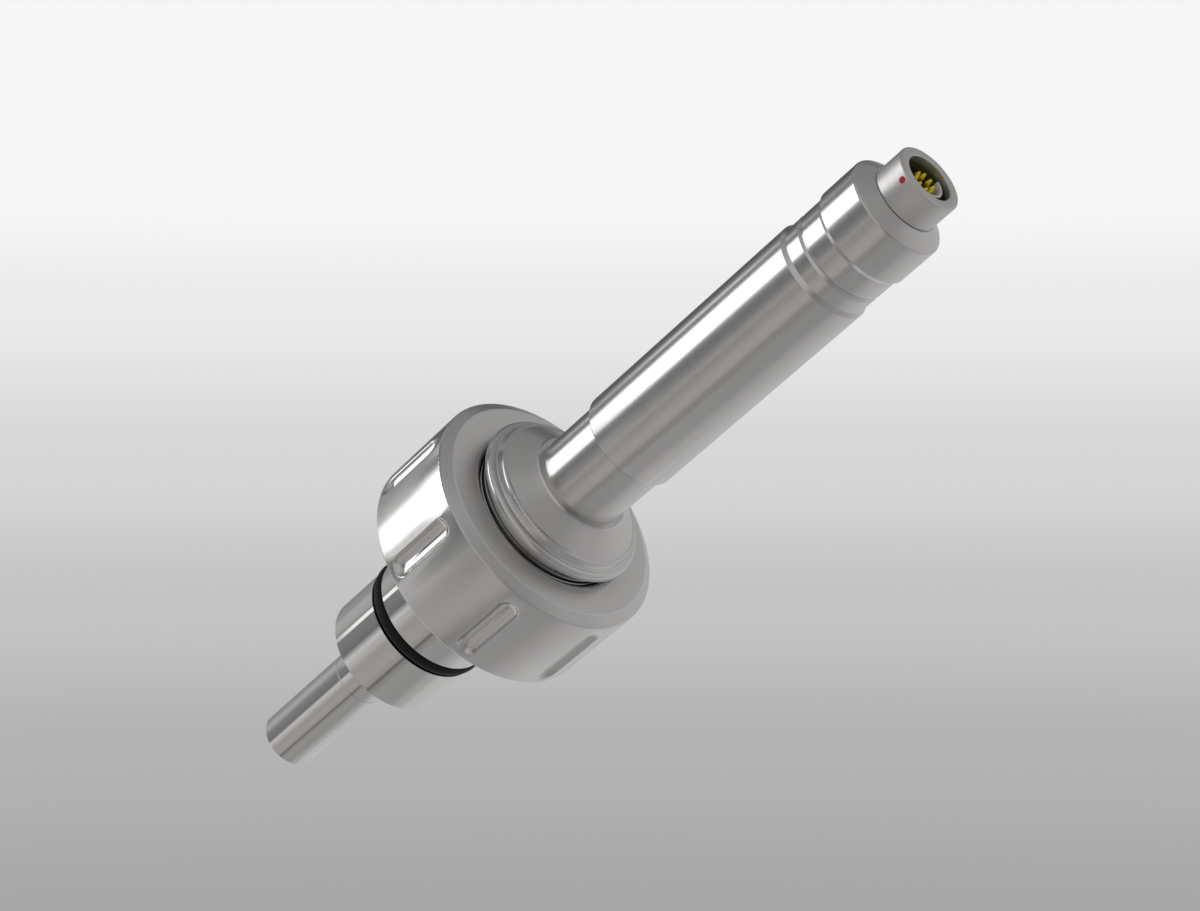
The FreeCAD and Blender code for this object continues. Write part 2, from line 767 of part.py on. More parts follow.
def board_holder(bottom, slot_bottom):
    """A plastic ring in the barrel with a slot for one end of the board."""
    radius = barrel_bore_r - WIRE_CLEARANCE
    ring = rod(radius, bottom, bottom + HOLDER_THICKNESS)
    ring = ring.cut(rod(HOLDER_HOLE_D / 2, bottom, bottom + HOLDER_THICKNESS))
    slot_width = BOARD_WIDTH + 2 * PRESS_CLEARANCE
    slot_depth = BOARD_THICKNESS + 2 * PRESS_CLEARANCE
    return ring.cut(upright_box(slot_width, slot_depth, slot_bottom, slot_bottom + HOLDER_SLOT_DEPTH))


def lower_holder():
    """The holder that stands on the end of the hub's upper spigot."""
    return board_holder(stem_end, board_bottom)


def upper_holder():
    """The holder under the head cap's spigot."""
    bottom = cap_spigot_bottom - HOLDER_THICKNESS
    return board_holder(bottom, bottom)


def amplifier_chip():
    """The chip nearest the electrodes, on the front of the board."""
    bottom = board_bottom + CHIP_FROM_BOARD_END
    y = -(BOARD_THICKNESS + CHIP_HEIGHT) / 2
    return upright_box(AMPLIFIER_CHIP_SIZE, CHIP_HEIGHT, bottom, bottom + AMPLIFIER_CHIP_SIZE, 0, y)


def converter_chip():
    """The larger chip nearest the connector, on the front of the board."""
    top = board_top - CHIP_FROM_BOARD_END
    y = -(BOARD_THICKNESS + CHIP_HEIGHT) / 2
    return upright_box(CONVERTER_CHIP_SIZE, CHIP_HEIGHT, top - CONVERTER_CHIP_LENGTH, top, 0, y)


def capacitors():
    """A row of upright round capacitors on the back of the board."""
    middle = (board_bottom + board_top) / 2
    first = middle - CAPACITOR_PITCH * (CAPACITOR_COUNT - 1) / 2
    cans = []
    for index in range(CAPACITOR_COUNT):
        start = FreeCAD.Vector(0, BOARD_THICKNESS / 2, first + index * CAPACITOR_PITCH)
        cans.append(Part.makeCylinder(CAPACITOR_D / 2, CAPACITOR_HEIGHT, start, FreeCAD.Vector(0, 1, 0)))
    return Part.makeCompound(cans)


def pin_leads():
    """The wires from the board's upper edge to the tails of the contact pins."""
    middle = (PIN_COUNT - 1) / 2
    leads = []
    for index, (x, y) in enumerate(sorted(pin_places())):
        start = FreeCAD.Vector((index - middle) * PIN_LEAD_PITCH, 0, board_top + SOLDER_GAP)
        leads.append(wire_between(start, FreeCAD.Vector(x, y, pin_bottom - SOLDER_GAP), LEAD_D))
    return Part.makeCompound(leads)


def pieces():
    """Every piece by its name."""
    shapes = {
        "tip_sleeve": tip_sleeve(),
        "tip_insulator": tip_insulator(),
        "tip_seal": tip_seal(),
        "plug_body": plug_body(),
        "port_seal": port_seal(),
        "slip_ring": slip_ring(),
        "union_nut": union_nut(),
        "hub": hub(),
        "hub_seal": hub_seal(),
        "barrel": barrel(),
        "barrel_seal": barrel_seal(),
        "head_cap": head_cap(),
        "cap_seal": cap_seal(),
        "connector_shell": connector_shell(),
        "connector_seal": connector_seal(),
        "connector_nut": connector_nut(),
        "connector_insert": connector_insert(),
        "insert_shroud": insert_shroud(),
        "index_dot": index_dot(),
        "preamplifier_board": board(),
        "lower_board_holder": lower_holder(),
        "upper_board_holder": upper_holder(),
        "amplifier_chip": amplifier_chip(),
        "converter_chip": converter_chip(),
        "board_capacitors": capacitors(),
        "pin_leads": pin_leads(),
    }
    for index, x in enumerate(electrode_places()):
        shapes["electrode_" + str(index + 1)] = electrode(x)
        shapes["electrode_lead_" + str(index + 1)] = electrode_lead(x)
    for index, (x, y) in enumerate(pin_places()):
        shapes["contact_pin_" + str(index + 1)] = contact_pin(x, y)
    return shapes


def main():
    os.makedirs("parts", exist_ok=True)
    for name, shape in pieces().items():
        shape.exportStep("parts/" + name + ".step")
        print(name, len(shape.Solids), round(shape.Volume, 2), shape.isValid())


main()
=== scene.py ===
import json
import math

import bpy
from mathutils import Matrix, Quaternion, Vector


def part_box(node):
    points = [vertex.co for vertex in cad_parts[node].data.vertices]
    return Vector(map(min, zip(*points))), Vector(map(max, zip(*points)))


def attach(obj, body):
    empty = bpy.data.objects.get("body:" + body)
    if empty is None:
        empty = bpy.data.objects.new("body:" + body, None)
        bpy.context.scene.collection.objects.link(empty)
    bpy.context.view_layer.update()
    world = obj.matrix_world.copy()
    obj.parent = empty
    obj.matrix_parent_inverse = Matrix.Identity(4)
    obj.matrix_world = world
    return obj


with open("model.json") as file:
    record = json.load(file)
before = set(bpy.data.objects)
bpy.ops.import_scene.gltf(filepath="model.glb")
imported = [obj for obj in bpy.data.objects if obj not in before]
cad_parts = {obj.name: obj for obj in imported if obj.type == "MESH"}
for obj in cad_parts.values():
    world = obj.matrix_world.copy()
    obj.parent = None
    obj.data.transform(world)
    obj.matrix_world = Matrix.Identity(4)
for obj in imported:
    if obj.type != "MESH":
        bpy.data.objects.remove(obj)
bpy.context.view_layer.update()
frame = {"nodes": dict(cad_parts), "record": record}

# Lengths are in metres in the probe's own frame, with +Z along its axis and the red dot towards -Y.
# The camera's sensor, and the radii and heights that a finish changes at, are in millimetres, and the
# studio's places are in degrees.
MM = 0.001
MICRON = 0.000001

# The camera, as fitted to the photograph: its place round the axis, what it looks at, and its roll
CAMERA_SIDE = math.radians(-65.0)
CAMERA_DISTANCE = 415.92 * MM
CAMERA_HEIGHT = 337.91 * MM
CAMERA_CLIP = 10.0 * MM
AIM_SIDEWAYS = -1.6 * MM
AIM_HEIGHT = 67.26 * MM
CAMERA_ROLL = math.radians(48.63)
SENSOR_WIDTH = 36.0
PHOTO_WIDTH = 1200
FOCAL_LENGTH_IN_PIXELS = 2752.8

# The floor, a plain pale disc well below the probe
FLOOR_RADIUS = 0.30
FLOOR_HEIGHT = -0.50
FLOOR_SIDES = 96

# The studio that the metal mirrors, as (degrees round the axis from the camera's side, tone):
# level with the probe and a little below it, then further down, then above the horizon
SIDE_TONES = [
    (-180, 0.45), (-162, 0.15), (-150, 0.10), (-140, 0.16), (-130, 0.27), (-121, 0.45), (-112, 0.16),
    (-52, 0.25), (-42, 0.20), (-31, 0.25), (-18, 0.44), (-10, 0.34), (8, 0.47), (20, 0.49), (30, 0.29),
    (42, 0.36), (70, 0.36), (100, 0.53), (120, 0.60), (140, 0.62), (180, 0.50),
]
LOW_TONES = [
    (-180, 0.50), (-160, 0.27), (-130, 0.38), (-112, 0.55), (-98, 0.53), (-86, 0.37), (-74, 0.29),
    (-60, 0.27), (-49, 0.23), (-43, 0.51), (-38, 0.77), (-28, 0.62), (-14, 0.45), (8, 0.48), (20, 0.42),
    (25, 0.19), (31, 0.35), (42, 0.42), (70, 0.40), (90, 0.53), (110, 0.68), (140, 0.66), (180, 0.50),
]
UPPER_TONES = [
    (-180, 0.27), (-140, 0.31), (-112, 0.35), (-88, 0.46), (-60, 0.50), (-30, 0.42), (0, 0.42),
    (28, 0.25), (60, 0.33), (112, 0.47), (140, 0.57), (180, 0.52),
]
ZENITH_TONE = 0.36
NADIR_TONE = 0.42

# The heights above the horizon between which one of these gives way to the next
LOW_TO_SIDE = (-38.5, -36.0)
SIDE_TO_UPPER = (-4.0, 12.0)
UPPER_TO_ZENITH = (55.0, 80.0)
LOW_TO_NADIR = (-45.0, -75.0)

# The panels in it: the tone of each, the turns and heights that it spans, and how soft its edges are in both
FRONT_PANEL = {"tone": 0.58, "turns": (-75.0, 8.0), "heights": (22.0, 48.0), "edges": (15.0, 6.0)}
SOFT_BOX = {"tone": 2.6, "turns": (-99.5, -61.0), "heights": (-35.7, -12.0), "edges": (2.5, 0.6)}
STREAK = {"tone": 1.35, "turns": (-86.5, -78.5), "heights": (-39.6, -35.5), "edges": (0.8, 0.5)}
SMALL_BOX = {"tone": 1.5, "turns": (-125.0, -117.5), "heights": (-32.2, -28.2), "edges": (2.0, 1.5)}

# A faint warm cast in what the side that faces the camera mirrors
WARM_TURNS = (-16.0, 26.0)
WARM_EDGE = 8.0
WARM_CAST = (1.03, 0.995, 0.955, 1)

# The background's tones by the sine of the height above the photograph's own level
BACKGROUND_TONES = [
    (-0.60, 0.62), (-0.30, 0.46), (-0.16, 0.39), (-0.107, 0.445), (-0.053, 0.55), (0.0, 0.68),
    (0.056, 0.83), (0.089, 0.92), (0.30, 0.92), (0.60, 0.85),
]

# The plain light that falls on what isn't a mirror
DIFFUSE_TONE = 0.80

# The broad lamp over the camera's left shoulder: how far it stands from the camera to its side and up
SOFT_LAMP_OFFSET = (-0.35, 0.35, 0.0)
SOFT_LAMP_SIZE = 0.5
SOFT_LAMP_POWER = 1.2

# The lamp that carries the soft box's mirror image to the union nut's lower end, placed as the panels are
NUT_LAMP_TURN = -78.0
NUT_LAMP_HEIGHT = -40.5
NUT_LAMP_DISTANCE = 260.0 * MM
NUT_LAMP_SIZE = (98.0 * MM, 72.0 * MM)
NUT_LAMP_POWER = 0.048

# How many features the surfaces' noises have to the metre, across and along the probe where the two differ
RING_MARKS = (40.0, 40.0, 3000.0)
SCRATCHES = (2500.0, 2500.0, 90.0)
CLOUDS = 160.0
HAZE = 220.0
NOISE_MEAN = 0.5

# Stainless steel, and how much the tint of any turned metal varies
STEEL = (0.62, 0.61, 0.60)
TURNED_VARIES = 0.03

# The mirror polish of the tip and the plug, and where the plug's neck begins, which is only turned
POLISHED = (0.63, 0.62, 0.61)
POLISHED_VARIES = 0.02
POLISH_ROUGHNESS = 0.035
POLISH_HAZE = 0.012
POLISH_MARKS = 0.2 * MICRON
NECK_HEIGHTS = (44.0, 45.0)
NECK_ROUGHNESS = 0.16

# The ring gap between the union nut, the neck and the hub's lower disc, where little light comes
GAP_RADII = (15.9, 17.1)
GAP_LOW = (46.0, 48.0)
GAP_HIGH = (51.5, 51.7)
GAP_DARKNESS = 0.35
STEEL_GAP_TONE = 0.1
POLISHED_GAP_TONE = 0.08

# The union nut's flat top, which is duller than its sides and made paler than them with painted light
NUT_FACE_HEIGHTS = (51.25, 51.38)
NUT_FACE_DULLNESS = 0.28
NUT_FACE_PAINTED_LIGHT = 1.2

# The wall inside the connector's socket, darkened below its lip by painted shade with a brownish cast that
# stands for the gold pins' bounced light
SOCKET_RADII = (5.0, 5.3)
SOCKET_HEIGHTS = (148.6, 151.0)
SOCKET_DARKNESS = 0.95
SOCKET_SHADE = (0.17, 0.125, 0.012)

# The connector's insulator: pale on the half-moon shroud, dark on the floor through painted shade, and the
# change between them
INSERT_PALE = (0.34, 0.33, 0.32)
INSERT_FLOOR_SHADE = (0.05, 0.045, 0.02)
SHROUD_FADE = (147.3, 148.6)
INSERT_GRAIN = 2000.0
INSERT_GRAIN_TONE = 0.6
INSERT_GRAIN_SHARE = 0.2
INSERT_GRAIN_DEPTH = 2.0 * MICRON
INSERT_ROUGHNESS = 0.35
INSERT_ROUGHNESS_VARIES = 0.1

# How much the tint of a moulded or painted surface varies
PLAIN_VARIES = 0.15

# The solids' triangles are joined and shaded smooth, with an edge kept crisp from this turn on
JOIN_DISTANCE = 2.0 * MICRON
CRISP_TURN = math.radians(15)

# The union nut's thread, a 1 1/4 inch pipe thread, from its root in the nut's bore to its crest
THREAD_ROOT = 21.0 * MM
THREAD_CREST = 19.48 * MM
THREAD_PITCH = 2.309 * MM
THREAD_BOTTOM = 32.8 * MM
THREAD_TURNS = 4
THREAD_STEPS = 72
THREAD_CRISP_TURN = math.radians(30)

# The ridge's width at its root, the share of it that is left at the crest, and the rounding there
THREAD_BASE = 0.92 * THREAD_PITCH
THREAD_CREST_SHARE = 0.26
THREAD_ROUNDING = 0.2 * MM

# How far to either side, and along the axis, the vertices of one of the ridge's ends can lie
THREAD_END_REACH = (0.1 * MM, 0.6 * THREAD_PITCH)


def grey(tone):
    """A tone as a colour with its alpha."""
    return (tone, tone, tone, 1)


def paint(colour, factor=1.0):
    """A colour made lighter or darker, with its alpha."""
    return tuple(min(1.0, factor * part) for part in colour) + (1,)


class Link:
    """An output of a node. Arithmetic on it adds Math nodes."""

    def __init__(self, graph, socket):
        self.graph = graph
        self.socket = socket

    def __add__(self, other):
        return self.graph.maths("ADD", self, other)

    def __radd__(self, other):
        return self.graph.maths("ADD", other, self)

    def __sub__(self, other):
        return self.graph.maths("SUBTRACT", self, other)

    def __rsub__(self, other):
        return self.graph.maths("SUBTRACT", other, self)

    def __mul__(self, other):
        return self.graph.maths("MULTIPLY", self, other)

    def __rmul__(self, other):
        return self.graph.maths("MULTIPLY", other, self)

    def __truediv__(self, other):
        return self.graph.maths("DIVIDE", self, other)

    def output(self, name):
        """Another output of the same node."""
        return Link(self.graph, self.socket.node.outputs[name])


class Graph:
    """The nodes of one material or of the world."""

    def __init__(self, tree):
        self.tree = tree
        tree.nodes.clear()

    def node(self, kind, settings=None, values=None, output=0):
        """Adds a node with its settings, then its inputs' values or links, and returns one of its outputs."""
        made = self.tree.nodes.new(kind)
        for name, value in (settings or {}).items():
            if name == "stops":
                self.set_stops(made.color_ramp, value)
            else:
                setattr(made, name, value)
        for name, value in (values or {}).items():
            if isinstance(value, Link):
                self.tree.links.new(value.socket, made.inputs[name])
            else:
                made.inputs[name].default_value = value
        if not made.outputs:
            return None
        return Link(self, made.outputs[output])

    def set_stops(self, ramp, stops):
        """Fills a colour ramp with (position, tone) stops."""
        ramp.interpolation = "EASE"
        while len(ramp.elements) < len(stops):
            ramp.elements.new(1.0)
        for element, (position, tone) in zip(ramp.elements, stops):
            element.position = position
            element.color = grey(tone)

    def maths(self, operation, first, second=0.0):
        return self.node("ShaderNodeMath", {"operation": operation}, {0: first, 1: second})

    def smooth_step(self, value, low, high):
        """0 below low, 1 above high and smooth between. With low above high it runs the other way."""
        return self.node(
            "ShaderNodeMapRange",
            {"interpolation_type": "SMOOTHSTEP"},
            {"Value": value, "From Min": low, "From Max": high},
        )

    def window(self, value, low, high, edge):
        """1 where a value lies between low and high, with soft edges."""
        rise = self.smooth_step(value, low - edge, low + edge)
        fall = self.smooth_step(value, high - edge, high + edge)
        return rise * (1 - fall)

    def mix(self, share, first, second, blend="MIX"):
        """A colour between two, by a share from 0 to 1."""
        return self.node(
            "ShaderNodeMix",
            {"data_type": "RGBA", "blend_type": blend},
            {0: share, 6: first, 7: second},
            output=2,
        )


def camera_frame():
    """The camera's place and turn, from the fitted values."""
    outward = Vector((math.cos(CAMERA_SIDE), math.sin(CAMERA_SIDE), 0))
    sideways = Vector((-outward.y, outward.x, 0))
    place = outward * CAMERA_DISTANCE + Vector((0, 0, CAMERA_HEIGHT))
    aim = sideways * AIM_SIDEWAYS + Vector((0, 0, AIM_HEIGHT))
    level = (aim - place).to_track_quat("-Z", "Y")
    return place, level @ Quaternion((0, 0, 1), CAMERA_ROLL)


def make_camera():
    place, turn = camera_frame()
    data = bpy.data.cameras.new("camera")
    data.sensor_width = SENSOR_WIDTH
    data.lens = SENSOR_WIDTH * FOCAL_LENGTH_IN_PIXELS / PHOTO_WIDTH
    data.clip_start = CAMERA_CLIP
    camera = bpy.data.objects.new("camera", data)
    camera.location = place
    camera.rotation_mode = "QUATERNION"
    camera.rotation_quaternion = turn
    bpy.context.scene.collection.objects.link(camera)
    bpy.context.scene.camera = camera


def tones_round(graph, pairs, share):
    """The tone at a share of the whole turn, from (degrees from the camera's side, tone) pairs."""
    stops = [((degrees + 180.0) / 360.0, tone) for degrees, tone in pairs]
    return graph.node("ShaderNodeValToRGB", {"stops": stops}, {"Fac": share})


def studio(graph, direction):
    """What the metal mirrors in a direction: the tones all round, the panels over them and the warm cast."""
    turned = graph.node(
        "ShaderNodeMapping",
        {"vector_type": "VECTOR"},
        {"Vector": direction, "Rotation": (0, 0, -CAMERA_SIDE)},
    )
    parts = graph.node("ShaderNodeSeparateXYZ", values={"Vector": turned})
    degrees = graph.maths("ARCTAN2", parts.output("Y"), parts.output("X")) * math.degrees(1)
    height = graph.maths("ARCSINE", parts.output("Z")) * math.degrees(1)

    share = degrees / 360.0 + 0.5
    side = tones_round(graph, SIDE_TONES, share)
    low = tones_round(graph, LOW_TONES, share)
    upper = tones_round(graph, UPPER_TONES, share)
    tone = graph.mix(graph.smooth_step(height, *LOW_TO_SIDE), low, side)
    tone = graph.mix(graph.smooth_step(height, *SIDE_TO_UPPER), tone, upper)
    tone = graph.mix(graph.smooth_step(height, *UPPER_TO_ZENITH), tone, grey(ZENITH_TONE))
    tone = graph.mix(graph.smooth_step(height, *LOW_TO_NADIR), tone, grey(NADIR_TONE))

    for panel in (FRONT_PANEL, SOFT_BOX, STREAK, SMALL_BOX):
        turn_edge, height_edge = panel["edges"]
        inside = graph.window(degrees, *panel["turns"], turn_edge)
        inside = inside * graph.window(height, *panel["heights"], height_edge)
        tone = graph.mix(inside, tone, grey(panel["tone"]))

    cast = graph.mix(graph.window(degrees, *WARM_TURNS, WARM_EDGE), grey(1), WARM_CAST)
    return graph.mix(1.0, tone, cast, blend="MULTIPLY")


def background(graph, direction):
    """The photograph's grey gradient, by how far a direction climbs towards the top of the frame."""
    up = camera_frame()[1] @ Vector((0, 1, 0))
    climb = graph.node(
        "ShaderNodeVectorMath",
        {"operation": "DOT_PRODUCT"},
        {0: direction, 1: up},
        output="Value",
    )
    low_end = BACKGROUND_TONES[0][0]
    span = BACKGROUND_TONES[-1][0] - low_end
    stops = [((sine - low_end) / span, tone) for sine, tone in BACKGROUND_TONES]
    return graph.node("ShaderNodeValToRGB", {"stops": stops}, {"Fac": (climb - low_end) / span})


def make_world():
    """A pale graded background for the camera, and a soft studio round the probe for its metal to mirror."""
    world = bpy.data.worlds.new("studio")
    bpy.context.scene.world = world
    world.use_nodes = True
    graph = Graph(world.node_tree)
    direction = graph.node("ShaderNodeTexCoord", output="Generated")
    path = graph.node("ShaderNodeLightPath")
    colour = graph.mix(path.output("Is Glossy Ray"), grey(DIFFUSE_TONE), studio(graph, direction))
    colour = graph.mix(path.output("Is Camera Ray"), colour, background(graph, direction))
    shader = graph.node("ShaderNodeBackground", values={"Color": colour})
    graph.node("ShaderNodeOutputWorld", values={"Surface": shader})


def add_lamp(name, shape, power, place, facing):
    """An area lamp at a place, that shines along a direction."""
    data = bpy.data.lights.new(name, "AREA")
    data.shape = shape
    data.energy = power
    lamp = bpy.data.objects.new(name, data)
    lamp.location = place
    lamp.rotation_mode = "QUATERNION"
    lamp.rotation_quaternion = facing.to_track_quat("-Z", "Y")
    bpy.context.scene.collection.objects.link(lamp)
    return lamp


def make_soft_lamp():
    """One broad lamp for the rubber and the plastics, which the metal doesn't mirror."""
    place, turn = camera_frame()
    place = place + turn @ Vector(SOFT_LAMP_OFFSET)
    lamp = add_lamp("soft lamp", "DISK", SOFT_LAMP_POWER, place, -place)
    lamp.data.size = SOFT_LAMP_SIZE
    lamp.visible_glossy = False


def make_nut_lamp():
    """Carries the soft box on below its edge for the union nut alone, which stands nearer to it."""
    low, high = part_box("union_nut")
    middle = Vector((0, 0, (low[2] + high[2]) / 2))
    turn = CAMERA_SIDE + math.radians(NUT_LAMP_TURN)
    slope = math.radians(NUT_LAMP_HEIGHT)
    away = Vector((math.cos(turn) * math.cos(slope), math.sin(turn) * math.cos(slope), math.sin(slope)))
    lamp = add_lamp("nut lamp", "RECTANGLE", NUT_LAMP_POWER, middle + away * NUT_LAMP_DISTANCE, -away)
    lamp.data.size, lamp.data.size_y = NUT_LAMP_SIZE
    receivers = bpy.data.collections.new("nut lamp receivers")
    receivers.objects.link(frame["nodes"]["union_nut"])
    lamp.light_linking.receiver_collection = receivers


def material(name, build):
    """A new material whose nodes are laid out by a function of its graph."""
    made = bpy.data.materials.new(name)
    made.use_nodes = True
    graph = Graph(made.node_tree)
    graph.node("ShaderNodeOutputMaterial", values={"Surface": build(graph)})
    return made


def object_point(graph):
    """The point in the probe's own frame, in metres."""
    return graph.node("ShaderNodeTexCoord", output="Object")


def radius_of(graph, point):
    """A point's distance from the probe's axis, in millimetres."""
    parts = graph.node("ShaderNodeSeparateXYZ", values={"Vector": point})
    x, y = parts.output("X"), parts.output("Y")
    return graph.maths("SQRT", x * x + y * y) / MM


def height_of(graph, point):
    """A point's height along the probe's axis, in millimetres."""
    parts = graph.node("ShaderNodeSeparateXYZ", values={"Vector": point})
    return parts.output("Z") / MM


def noise(graph, point, per_metre, detail):
    """Noise from 0 to 1, with so many features to the metre, all round or along each axis."""
    scale = per_metre
    if isinstance(per_metre, tuple):
        point = graph.node(
            "ShaderNodeMapping",
            {"vector_type": "POINT"},
            {"Vector": point, "Scale": per_metre},
        )
        scale = 1.0
    return graph.node("ShaderNodeTexNoise", values={"Vector": point, "Scale": scale, "Detail": detail})


def varied(graph, share, colour, spread):
    """A colour that is darker by the spread where the share is 0, and lighter by it where the share is 1."""
    return graph.mix(share, paint(colour, 1 - spread), paint(colour, 1 + spread))


def relief(graph, height, depth):
    """A normal that follows a height from 0 to 1 over a surface, so deep in metres."""
    return graph.node("ShaderNodeBump", values={"Height": height, "Strength": 1.0, "Distance": depth})


def surface(graph, colour, roughness, metallic, normal, **more):
    """The surface's shader, with any more of its inputs by their names."""
    values = {"Base Color": colour, "Roughness": roughness, "Metallic": metallic, "Normal": normal}
    return graph.node("ShaderNodeBsdfPrincipled", values={**values, **more})


def shade_gap(graph, point, tint, darkest):
    """Darkens a tint in the ring gap over the union nut."""
    height = height_of(graph, point)
    inside = 1 - graph.smooth_step(radius_of(graph, point), *GAP_RADII)
    inside = inside * graph.smooth_step(height, *GAP_LOW) * (1 - graph.smooth_step(height, *GAP_HIGH))
    return graph.mix(inside * GAP_DARKNESS, tint, darkest)


def shade_socket(graph, point, tint):
    """Darkens a tint inside the connector's socket with painted shade, browned for the gold pins' bounced
    light.
    """
    inside = 1 - graph.smooth_step(radius_of(graph, point), *SOCKET_RADII)
    inside = inside * (1 - graph.smooth_step(height_of(graph, point), *SOCKET_HEIGHTS))
    return graph.mix(inside * SOCKET_DARKNESS, tint, paint(SOCKET_SHADE))


def turned_metal(name, colour, roughness, spread, marks, in_gap=False, in_socket=False, dull_face_and_painted_light=False):
    """Turned metal: fine ring marks, faint lengthwise handling scratches and slightly uneven gloss."""
    def build(graph):
        point = object_point(graph)
        rings = noise(graph, point, RING_MARKS, detail=2.0)
        scratches = noise(graph, point, SCRATCHES, detail=3.0)
        cloud = noise(graph, point, CLOUDS, detail=3.0)
        uneven = (rings - NOISE_MEAN) + (cloud - NOISE_MEAN) + (scratches - NOISE_MEAN)
        gloss = roughness + uneven * spread
        tint = varied(graph, cloud, colour, TURNED_VARIES)
        if dull_face_and_painted_light:
            face = graph.smooth_step(height_of(graph, point), *NUT_FACE_HEIGHTS)
            gloss = gloss + face * NUT_FACE_DULLNESS
            # Painted light: the nut's flat top is made paler than its sides
            tint = graph.mix(face, tint, paint(colour, NUT_FACE_PAINTED_LIGHT))
        if in_gap:
            tint = shade_gap(graph, point, tint, paint(colour, STEEL_GAP_TONE))
        if in_socket:
            # Painted shade inside the socket, with a brownish cast for the gold pins' bounced light
            tint = shade_socket(graph, point, tint)
        return surface(graph, tint, gloss, 1.0, relief(graph, rings, marks))
    return material(name, build)


def polished_steel():
    """Mirror-polished tip and plug, with the plug's neck left as fine turned metal like the hub."""
    def build(graph):
        point = object_point(graph)
        rings = noise(graph, point, RING_MARKS, detail=2.0)
        haze = noise(graph, point, HAZE, detail=4.0)
        neck = graph.smooth_step(height_of(graph, point), *NECK_HEIGHTS)
        gloss = POLISH_ROUGHNESS + (haze - NOISE_MEAN) * POLISH_HAZE + neck * NECK_ROUGHNESS
        tint = varied(graph, haze, POLISHED, POLISHED_VARIES)
        tint = shade_gap(graph, point, tint, paint(POLISHED, POLISHED_GAP_TONE))
        return surface(graph, tint, gloss, 1.0, relief(graph, rings, POLISH_MARKS))
    return material("polished steel", build)


def plain(name, colour, roughness, spread, grain_per_metre, grain_depth, coat=0.0, specular=0.5):
    """A moulded or painted surface with a fine uneven grain."""
    def build(graph):
        grain = noise(graph, object_point(graph), grain_per_metre, detail=4.0)
        tint = varied(graph, grain, colour, PLAIN_VARIES)
        gloss = roughness + (grain - NOISE_MEAN) * spread
        more = {"Coat Weight": coat, "Specular IOR Level": specular}
        return surface(graph, tint, gloss, 0.0, relief(graph, grain, grain_depth), **more)
    return material(name, build)


def insert_plastic():
    """The connector's insulator: pale grey on the half-moon shroud, with painted shade making it dark and
    brownish down on the floor.
    """
    def build(graph):
        point = object_point(graph)
        grain = noise(graph, point, INSERT_GRAIN, detail=4.0)
        pale = graph.smooth_step(height_of(graph, point), *SHROUD_FADE)
        # Painted shade: the insulator turns dark towards the socket's floor
        tint = graph.mix(pale, paint(INSERT_FLOOR_SHADE), paint(INSERT_PALE))
        tint = graph.mix(grain * INSERT_GRAIN_SHARE, tint, paint(INSERT_PALE, INSERT_GRAIN_TONE))
        gloss = INSERT_ROUGHNESS + grain * INSERT_ROUGHNESS_VARIES
        return surface(graph, tint, gloss, 0.0, relief(graph, grain, INSERT_GRAIN_DEPTH))
    return material("insert plastic", build)


def make_materials():
    """Every finish by the record's slot name."""
    turned = {"spread": 0.04, "marks": 1.5 * MICRON, "in_gap": True}
    bright = {"marks": 0.5 * MICRON}
    moulded = {"spread": 0.1, "grain_per_metre": 1500.0, "grain_depth": 2.0 * MICRON}
    return {
        "satin_steel": turned_metal("satin steel", STEEL, roughness=0.20, **turned),
        "nut_steel": turned_metal("nut steel", STEEL, roughness=0.21, dull_face_and_painted_light=True, **turned),
        "polished_steel": polished_steel(),
        "shell_steel": turned_metal(
            "shell steel", (0.60, 0.59, 0.58), roughness=0.44, spread=0.05,
            marks=1.0 * MICRON, in_socket=True,
        ),
        "black_rubber": plain(
            "black rubber", (0.005, 0.005, 0.005), roughness=0.55, spread=0.1,
            grain_per_metre=3000.0, grain_depth=4.0 * MICRON, specular=0.2,
        ),
        "tip_plastic": plain("tip plastic", (0.42, 0.31, 0.19), roughness=0.45, **moulded),
        "platinum": turned_metal("platinum", (0.72, 0.70, 0.67), roughness=0.15, spread=0.03, **bright),
        "slip_plastic": plain("slip plastic", (0.80, 0.80, 0.77), roughness=0.4, **moulded),
        "insert_plastic": insert_plastic(),
        "gold": turned_metal("gold", (0.82, 0.70, 0.05), roughness=0.28, spread=0.05, **bright),
        "red_enamel": plain(
            "red enamel", (0.26, 0.008, 0.020), roughness=0.35, spread=0.05,
            grain_per_metre=2500.0, grain_depth=2.0 * MICRON, coat=0.3, specular=0.3,
        ),
        "board_green": plain(
            "board green", (0.03, 0.16, 0.07), roughness=0.35, spread=0.1,
            grain_per_metre=800.0, grain_depth=3.0 * MICRON, coat=0.4,
        ),
        "holder_plastic": plain("holder plastic", (0.70, 0.70, 0.67), roughness=0.45, **moulded),
        "chip_black": plain(
            "chip black", (0.02, 0.02, 0.02), roughness=0.5, spread=0.1,
            grain_per_metre=4000.0, grain_depth=3.0 * MICRON,
        ),
        "capacitor_metal": turned_metal(
            "capacitor metal", (0.75, 0.75, 0.76), roughness=0.3, spread=0.05, **bright,
        ),
        "lead_insulation": plain(
            "lead insulation", (0.62, 0.58, 0.52), roughness=0.45, spread=0.1,
            grain_per_metre=1500.0, grain_depth=3.0 * MICRON,
        ),
    }


def dress_nodes(finishes):
    """Gives each CAD node its finish, and smooth shading with crisp edges."""
    slots = {part["node"]: part["material_slot"] for part in frame["record"]["subparts"]}
    for name, node in frame["nodes"].items():
        for slot in node.material_slots:
            slot.material = finishes[slots[name]]
        for face in node.data.polygons:
            face.use_smooth = True
        weld = node.modifiers.new("weld", "WELD")
        weld.merge_threshold = JOIN_DISTANCE
        split = node.modifiers.new("crisp edges", "EDGE_SPLIT")
        split.split_angle = CRISP_TURN


